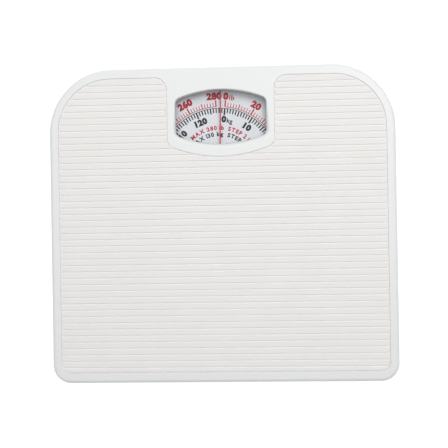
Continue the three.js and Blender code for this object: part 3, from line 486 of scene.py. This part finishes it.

# %% [markdown]
# ## The springs that stretch
#
# Three coil springs join bodies that move apart: the main spring hangs from the base and carries the
# yoke, and two thin ones hold the cover down on the base. A coil is a small round section swept up a
# helix, which is what the Screw modifier does. When the scale is posed, one end has to stay and the
# other has to follow; here the springs are left where they are made, on no body.


# %% Wind the springs
def coil(name, stands_for, turns, wire):
    """A spring in the box of the engineering model's own, standing upright."""
    low, high = [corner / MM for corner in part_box(stands_for)]
    radius, tall = (high.x - low.x) / 2 - wire, high.z - low.z - 2 * wire
    bpy.ops.object.select_all(action="DESELECT")
    bpy.ops.mesh.primitive_circle_add(
        vertices=10,
        radius=wire * MM,
        fill_type="NOTHING",
        location=(radius * MM, 0, 0),
        rotation=(math.pi / 2, 0, 0),
    )
    spring = bpy.context.object
    spring.name = name
    settle(spring)
    rise = tall / turns * MM
    turn = {"angle": 2 * math.pi, "steps": 28, "render_steps": 28}
    modify(spring, "SCREW", axis="Z", screw_offset=rise, iterations=turns, **turn)
    pick(spring, "VERT", lambda mesh, vertex: False)
    bpy.ops.mesh.select_non_manifold()
    bpy.ops.mesh.edge_face_add()
    bpy.ops.mesh.select_all(action="SELECT")
    bpy.ops.mesh.normals_make_consistent(inside=False)
    done()
    centre = Vector(((low.x + high.x) / 2, (low.y + high.y) / 2, low.z + wire)) * MM
    spring.data.transform(Matrix.Translation(centre))
    smooth(spring, 60)
    return spring, centre, centre + Vector((0, 0, tall * MM))


main_spring, main_low, main_high = coil("coil_main", "main_spring", 5, 1)
hold_springs = [
    coil("coil_hold_down_" + side, "hold_down_spring_" + side, 14, 0.5) for side in ("left", "right")
]
print(main_spring.name, len(main_spring.data.polygons), "faces")

# %% [markdown]
# ## The printed dial
#
# The dial is a card on a metal disc, printed in two inks. Kilograms run round the inside in black,
# pounds round the outside in red, and both grow clockwise, because the dial turns the other way under
# the hairline as the load grows. One turn is 130 kg.
#
# The print could be a picture, but then it would blur when someone looks closely. Real marks stay
# sharp: one tick of each length is made and copied round the dial, the rings are circles inset by a
# line's width, and the figures are text turned into a mesh. They stand 0.03 mm proud, as thick ink.

# %% Ink on the card
DIAL_LOW, DIAL_HIGH = [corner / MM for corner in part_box("dial_disc")]
DIAL_X, DIAL_Y = (DIAL_LOW.x + DIAL_HIGH.x) / 2, (DIAL_LOW.y + DIAL_HIGH.y) / 2
CARD, INK = DIAL_HIGH.z, 0.03
ZERO = 5.9
DEGREES_PER_KG = 360 / 130
DEGREES_PER_LB = DEGREES_PER_KG * 0.45359237


def on_dial(radius, degrees):
    """Moves something from the origin out to a radius, turned clockwise from the zero mark."""
    middle = Matrix.Translation(Vector((DIAL_X, DIAL_Y, 0)) * MM)
    turn = Matrix.Rotation(-math.radians(ZERO + degrees), 4, "Z")
    return middle @ turn @ Matrix.Translation((0, radius * MM, 0))


def tick(width, inner, outer):
    """One printed line, its ends a little rounded."""
    half = width / 2
    plan = [(-half, inner), (half, inner), (half, outer), (-half, outer)]
    bar = slab("tick", plan, CARD, CARD + INK)

    def upright(mesh, edge):
        return not at_height(mesh, edge, CARD) and not at_height(mesh, edge, CARD + INK)

    pick(bar, "EDGE", upright)
    bpy.ops.mesh.bevel(offset=width * 0.2 * MM, segments=1, affect="EDGES")
    done()
    return bar


def scale_of_ticks(name, count, step, kinds):
    """Ticks all round the dial. `kinds` maps how often a tick comes to its width and its two radii."""
    made = []
    patterns = {every: tick(*sizes) for every, sizes in kinds.items()}
    for i in range(count):
        every = max(k for k in kinds if i % k == 0)
        made.append(copy_of(patterns[every], "tick", on_dial(0, i * step)))
    for pattern in patterns.values():
        bpy.data.objects.remove(pattern)
    return join_up(name, made)


KG_RING, LB_RING = 47.6, 48.8
KG_TICKS = {1: (0.95, 43.9, KG_RING), 5: (1.05, 43.2, KG_RING), 10: (1.25, 42.3, KG_RING)}
LB_TICKS = {1: (0.6, LB_RING, 52.1), 5: (0.8, LB_RING, 52.8), 10: (1.1, LB_RING, 53.9)}
kg_ticks = scale_of_ticks("kilogram_ticks", 130, DEGREES_PER_KG, KG_TICKS)
lb_ticks = scale_of_ticks("pound_ticks", 141, 2 * DEGREES_PER_LB, LB_TICKS)
print(len(kg_ticks.data.polygons), "and", len(lb_ticks.data.polygons), "faces of ticks")


# %% Rings and figures
def ring(name, radius, width, gap=0):
    """A printed circle; `gap` is a stretch in degrees, just before zero, that stays blank."""
    bpy.ops.object.select_all(action="DESELECT")
    bpy.ops.mesh.primitive_circle_add(
        vertices=360,
        radius=(radius + width / 2) * MM,
        fill_type="NGON",
        location=(DIAL_X * MM, DIAL_Y * MM, CARD * MM),
    )
    circle = bpy.context.object
    circle.name = name
    settle(circle)
    pick(circle, "FACE", lambda mesh, face: True)
    bpy.ops.mesh.inset(thickness=width * MM)
    bpy.ops.mesh.delete(type="FACE")
    done()

    def blank(mesh, face):
        x, y = face.center.x / MM - DIAL_X, face.center.y / MM - DIAL_Y
        after_zero = (math.degrees(math.atan2(x, y)) - ZERO) % 360
        return after_zero > 360 - gap

    if gap:
        pick(circle, "FACE", blank)
        bpy.ops.mesh.delete(type="FACE")
        done()
    pick(circle, "FACE", lambda mesh, face: True)
    bpy.ops.mesh.extrude_region_move(TRANSFORM_OT_translate={"value": (0, 0, INK * MM)})
    bpy.ops.mesh.select_all(action="SELECT")
    bpy.ops.mesh.normals_make_consistent(inside=False)
    done()
    return circle


def figure(text, height, radius, degrees, weight=0.02, squeeze=1.0):
    """Printed text, `height` tall, whose middle sits at a radius and a turn from zero."""
    bpy.ops.object.select_all(action="DESELECT")
    bpy.ops.object.text_add()
    words = bpy.context.object
    words.data.body = text
    words.data.resolution_u = 3
    words.data.extrude = 0.5
    words.data.offset = weight
    words.data.space_character = 1.1
    words.data.align_x = "CENTER"
    bpy.ops.object.convert(target="MESH")
    words = bpy.context.object
    mesh = words.data
    tall = FIGURE_HEIGHT + 2 * weight
    size = height / tall * MM
    centre = Matrix.Translation((0, weight - tall / 2, 0.5))
    scaled = Matrix.Diagonal((size * squeeze, size, INK * MM, 1))
    mesh.transform(on_dial(radius, degrees) @ Matrix.Translation((0, 0, CARD * MM)) @ scaled @ centre)
    pick(words, "VERT", lambda mesh, vertex: True)
    bpy.ops.mesh.remove_doubles(threshold=1e-7)
    done()
    return words


bpy.ops.object.text_add()
probe = bpy.context.object
probe.data.body = "0"
FIGURE_HEIGHT = probe.dimensions.y
BOLD, LAST_BACK = 0.072, 1.1
bpy.data.objects.remove(probe)
BLANK = 360 - 280 * DEGREES_PER_LB
rings = [ring("kilogram_ring", KG_RING, 0.45), ring("pound_ring", LB_RING, 0.5, gap=BLANK)]
# The last pound figure stands back a little, to leave room for the zero.
kg_figures = join_up(
    "kilogram_figures", [figure(str(n), 5.3, 39.2, n * DEGREES_PER_KG, BOLD, 1.05) for n in range(0, 130, 10)]
)
lb_turns = {n: n * DEGREES_PER_LB - (LAST_BACK if n == 280 else 0) for n in range(0, 281, 20)}
lb_figures = join_up(
    "pound_figures", [figure(str(n), 5.8, 57.2, turn, BOLD, 1.03) for n, turn in lb_turns.items()]
)
units = [figure("kg", 3.7, 38.4, 6.8, 0.03), figure("lb", 4.2, 56.6, 4.7, 0.03)]
print("figures", len(kg_figures.data.polygons), len(lb_figures.data.polygons))


# %% The lines of words
def letter_width(letter, height):
    """How wide the built-in font draws a letter."""
    bpy.ops.object.text_add()
    sample = bpy.context.object
    sample.data.body = letter
    bpy.context.view_layer.update()
    width = sample.dimensions.x * height / FIGURE_HEIGHT
    bpy.data.objects.remove(sample)
    return width


def words_round(name, text, height, radius, middle, gap):
    """A line of words that bends round the dial, each letter given its own width."""
    widths = [letter_width(letter, height) + gap if letter != " " else height * 0.42 for letter in text]
    letters, along = [], -sum(widths) / 2
    for letter, width in zip(text, widths):
        if letter != " ":
            turn = middle + math.degrees((along + width / 2) / radius)
            letters.append(figure(letter, height, radius, turn, 0.045))
        along += width
    return join_up(name, letters)


MIDDLE_OF_WORDS = -1.5
red_words = words_round("capacity_in_pounds", "MAX 280 lb  STEP 2 lb", 3.5, 32.3, MIDDLE_OF_WORDS, 0.75)
black_words = words_round("capacity_in_kilograms", "MAX 130 kg  STEP 1 kg", 3.5, 27.4, MIDDLE_OF_WORDS, 0.75)
print("words", len(red_words.data.polygons), len(black_words.data.polygons))

# %% [markdown]
# ## Finishes
#
# A finish is a small graph of nodes. Numbers that change over a surface, such as its roughness, are
# worked out with Math nodes; a class that wraps a socket lets them be written as plain sums.


# %% A socket that does sums
class Amount:
    """A number that changes over a surface. Sums on it add Math nodes."""

    def __init__(self, tree, socket):
        self.tree, self.socket = tree, socket

    def sum(self, operation, first, second):
        node = self.tree.nodes.new("ShaderNodeMath")
        node.operation = operation
        for socket, item in zip(node.inputs, (first, second)):
            if isinstance(item, Amount):
                self.tree.links.new(item.socket, socket)
            else:
                socket.default_value = item
        return Amount(self.tree, node.outputs[0])

    def __add__(self, other):
        return self.sum("ADD", self, other)

    def __sub__(self, other):
        return self.sum("SUBTRACT", self, other)

    def __mul__(self, other):
        return self.sum("MULTIPLY", self, other)

    def __rsub__(self, other):
        return self.sum("SUBTRACT", other, self)

    __radd__, __rmul__ = __add__, __mul__


class Finish:
    """A material with one Principled surface. Constants are set on the shader's own sockets."""

    def __init__(self, name, **constants):
        self.material = bpy.data.materials.new(name)
        self.material.use_nodes = True
        self.tree = self.material.node_tree
        self.tree.nodes.clear()
        self.shader = self.node("ShaderNodeBsdfPrincipled", inputs=constants)
        self.node("ShaderNodeOutputMaterial", inputs={"Surface": self.shader.outputs[0]})

    def node(self, kind, settings=None, inputs=None):
        """Adds a node: its settings first, then a value or a link for each socket."""
        node = self.tree.nodes.new(kind)
        for key, value in (settings or {}).items():
            setattr(node, key, value)
        for key, value in (inputs or {}).items():
            self.feed(node.inputs[key], value)
        return node

    def feed(self, socket, value):
        if isinstance(value, Amount):
            value = value.socket
        if isinstance(value, bpy.types.NodeSocket):
            self.tree.links.new(value, socket)
        elif socket.type == "RGBA" and len(value) == 3:
            socket.default_value = (*value, 1)
        else:
            socket.default_value = value

    def set(self, **inputs):
        for key, value in inputs.items():
            self.feed(self.shader.inputs[key.replace("_", " ")], value)
        return self

    def noise(self, size, detail=3, rough=0.5, stretch=(1, 1, 1)):
        """Soft blotches about `size` millimetres across, from 0 to 1."""
        at = self.node("ShaderNodeTexCoord").outputs["Object"]
        placed = self.node("ShaderNodeMapping", inputs={"Vector": at, "Scale": stretch})
        made = self.node(
            "ShaderNodeTexNoise",
            inputs={
                "Vector": placed.outputs[0],
                "Scale": 1 / (size * MM),
                "Detail": detail,
                "Roughness": rough,
            },
        )
        return Amount(self.tree, made.outputs["Factor" if "Factor" in made.outputs else "Fac"])

    def blend(self, share, first, second):
        """From one colour to another, by a share from 0 to 1."""
        mix = self.node("ShaderNodeMix", {"data_type": "RGBA"})
        self.feed(mix.inputs[0], share)
        self.feed(mix.inputs[6], first)
        self.feed(mix.inputs[7], second)
        return mix.outputs[2]

    def relief(self, height, depth):
        """Fine bumps, `depth` millimetres high."""
        bump = self.node("ShaderNodeBump", inputs={"Height": height, "Distance": depth * MM, "Strength": 1.0})
        return self.set(Normal=bump.outputs[0])


# %% [markdown]
# The steel parts that show are dipped in white enamel, which flows a little as it dries and keeps a
# faint ripple. The mat is soft vinyl with a dull grain. The card is matt, with a cool tint, and the inks
# lie on it. Inside, the levers are zinc plated, the gears brass, and the feet grey rubber.

# %% Enamel, vinyl and card
def enamel():
    finish = Finish("white_enamel", **{"Coat Weight": 0.12, "Coat Roughness": 0.15, "IOR": 1.48})
    cloud, ripple = finish.noise(60, 2), finish.noise(2.2, 2)
    finish.set(Base_Color=finish.blend(cloud, (0.815, 0.832, 0.826), (0.84, 0.857, 0.85)))
    finish.set(Roughness=0.4 + 0.1 * cloud)
    return finish.relief(ripple, 0.012)


def vinyl():
    finish = Finish("mat_vinyl", **{"IOR": 1.45, "Specular IOR Level": 0.3})
    cloud, grain = finish.noise(25, 4), finish.noise(0.35, 3, 0.7)
    finish.set(Base_Color=finish.blend(cloud, (0.84, 0.83, 0.812), (0.88, 0.87, 0.853)))
    finish.set(Roughness=0.55 + 0.15 * grain)
    return finish.relief(grain, 0.03)


def card():
    finish = Finish("dial_card", IOR=1.45)
    fibre = finish.noise(0.8, 4, 0.6)
    finish.set(Base_Color=finish.blend(fibre, (0.86, 0.885, 0.925), (0.9, 0.92, 0.955)))
    finish.set(Roughness=0.5 + 0.1 * fibre)
    return finish.relief(fibre, 0.008)


def ink(name, colour):
    finish = Finish(name, **{"IOR": 1.45, "Specular IOR Level": 0.25})
    speck = finish.noise(0.25, 2)
    faded = tuple(c * 0.92 + 0.004 for c in colour)
    finish.set(Base_Color=finish.blend(speck, colour, faded), Roughness=0.4 + 0.1 * speck)
    return finish


# %% Plastic, metal and rubber
def clear_plastic():
    """Thin and clear: what little it shows is its gloss."""
    finish = Finish("clear_plastic", IOR=1.49, Alpha=0.06)
    haze = finish.noise(30, 2)
    finish.set(Base_Color=finish.blend(haze, (0.15, 0.18, 0.2), (0.2, 0.23, 0.25)))
    return finish.set(Roughness=0.04 + 0.04 * haze)


def moulded_plastic():
    finish = Finish("white_plastic", IOR=1.5)
    grain = finish.noise(0.6, 3)
    finish.set(Base_Color=finish.blend(grain, (0.8, 0.81, 0.8), (0.84, 0.85, 0.84)))
    finish.set(Roughness=0.32 + 0.1 * grain)
    return finish.relief(grain, 0.01)


def metal(name, dark, bright, rough, grain_size, stretch):
    """Bare or plated metal, with the fine streaks of drawing or rolling."""
    finish = Finish(name, Metallic=1.0)
    streak, cloud = finish.noise(grain_size, 3, 0.6, stretch), finish.noise(14, 3)
    finish.set(Base_Color=finish.blend(cloud, dark, bright), Roughness=rough + 0.14 * streak)
    return finish.relief(streak, 0.006)


def rubber():
    finish = Finish("grey_rubber", IOR=1.5)
    grain, dust = finish.noise(0.5, 3), finish.noise(9, 3)
    finish.set(Base_Color=finish.blend(dust, (0.085, 0.088, 0.09), (0.14, 0.143, 0.145)))
    finish.set(Roughness=0.72 + 0.15 * grain)
    return finish.relief(grain, 0.03)


FINISHES = {
    "white_enamel": enamel(),
    "mat_vinyl": vinyl(),
    "clear_plastic": clear_plastic(),
    "red_ink": ink("red_ink", (0.62, 0.003, 0.06)),
    "dial_card": card(),
    "white_plastic": moulded_plastic(),
    "brass": metal("brass", (0.5, 0.36, 0.13), (0.62, 0.47, 0.2), 0.24, 0.5, (1, 6, 1)),
    "spring_steel": metal("spring_steel", (0.42, 0.43, 0.45), (0.56, 0.57, 0.59), 0.2, 0.3, (1, 1, 5)),
    "grey_rubber": rubber(),
    "zinc_steel": metal("zinc_steel", (0.5, 0.51, 0.52), (0.64, 0.65, 0.66), 0.3, 0.8, (1, 5, 1)),
}
PRINT = {
    "crimson": ink("crimson_ink", (0.5, 0.0005, 0.018)),
    "rose": ink("rose_ink", (0.62, 0.015, 0.06)),
    "black": ink("black_ink", (0.004, 0.0045, 0.006)),
    "grey": ink("grey_ink", (0.05, 0.052, 0.056)),
}
print(len(FINISHES) + len(PRINT), "finishes")

# %% [markdown]
# Each piece of the engineering model says in its record which finish it has, so they can all be given
# theirs in one loop.

# %% Dress the frame's own pieces
for subpart in frame["record"]["subparts"]:
    node = frame["nodes"][subpart["node"]]
    if not node.material_slots:
        node.data.materials.append(None)
    for held in node.material_slots:
        held.link = "OBJECT"
        held.material = FINISHES[subpart["material_slot"]].material


# %% Dress and place the new pieces
def finish_piece(piece, body, slot, finish=None, replaces=()):
    """Gives a piece its material, the body it rides on and the nodes it stands for."""
    piece.data.materials.clear()
    piece.data.materials.append((finish or FINISHES[slot]).material)
    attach(piece, body)
    if replaces:
        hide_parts(*replaces)


finish_piece(cover, "platform", "white_enamel", replaces=["top_cover"])
finish_piece(mat, "platform", "mat_vinyl", replaces=["anti_slip_mat"])
for spring, stands_for, ends, low, high in (
    (main_spring, "main_spring", ("yoke", "base"), main_low, main_high),
    (hold_springs[0][0], "hold_down_spring_left", ("base", "platform"), *hold_springs[0][1:]),
    (hold_springs[1][0], "hold_down_spring_right", ("base", "platform"), *hold_springs[1][1:]),
):
    spring.data.materials.clear()
    spring.data.materials.append(FINISHES["spring_steel"].material)
    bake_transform(spring)
    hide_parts(stands_for)
for piece, shade in (
    (kg_ticks, "black"),
    (rings[0], "black"),
    (kg_figures, "black"),
    (black_words, "black"),
    (units[0], "grey"),
    (lb_ticks, "rose"),
    (rings[1], "rose"),
    (red_words, "rose"),
    (units[1], "rose"),
    (lb_figures, "crimson"),
):
    finish_piece(piece, "dial", "dial_card", PRINT[shade])
units[0].name, units[1].name = "kilogram_unit", "pound_unit"

# %% [markdown]
# ## Light and floor
#
# The light is that of a soft studio. A large lamp hangs a little behind the scale, and a smaller one
# behind and to the right, so the window's right and back walls throw a short shadow on the dial, and
# the front edge turns away from them. The floor is white, and glows a little so that no shadow greys it.

# %% Floor
bpy.ops.object.select_all(action="DESELECT")
bpy.ops.mesh.primitive_plane_add(size=6, location=(0, 0, -0.0005))
floor = bpy.context.object
floor.name = "floor"
white = Finish("studio_floor", **{"Base Color": (0.4, 0.4, 0.4), "Roughness": 0.9, "Emission Strength": 0.85})
white.set(Emission_Color=(1, 1, 1))
floor.data.materials.append(white.material)


# %% Lights
def soft_light(name, at, size, power, aim=(0, 0, 0.03)):
    """A square soft light at a place in metres, aimed at the object."""
    bpy.ops.object.light_add(type="AREA", location=at)
    light = bpy.context.object
    light.name = name
    light.data.shape = "SQUARE"
    light.data.size = size
    light.data.energy = power
    light.rotation_euler = (Vector(aim) - Vector(at)).to_track_quat("-Z", "Y").to_euler()
    return light


soft_light("key", (0.4, 0.5, 1.3), 0.5, 4.3)
soft_light("overhead", (0, 0.36, 1.2), 1.4, 10.9)
world = bpy.data.worlds.new("studio")
bpy.context.scene.world = world
world.use_nodes = True
world.node_tree.nodes["Background"].inputs[0].default_value = (1, 1, 1, 1)
world.node_tree.nodes["Background"].inputs[1].default_value = 0.25
bpy.context.scene.view_settings.view_transform = "Standard"
print("lit")
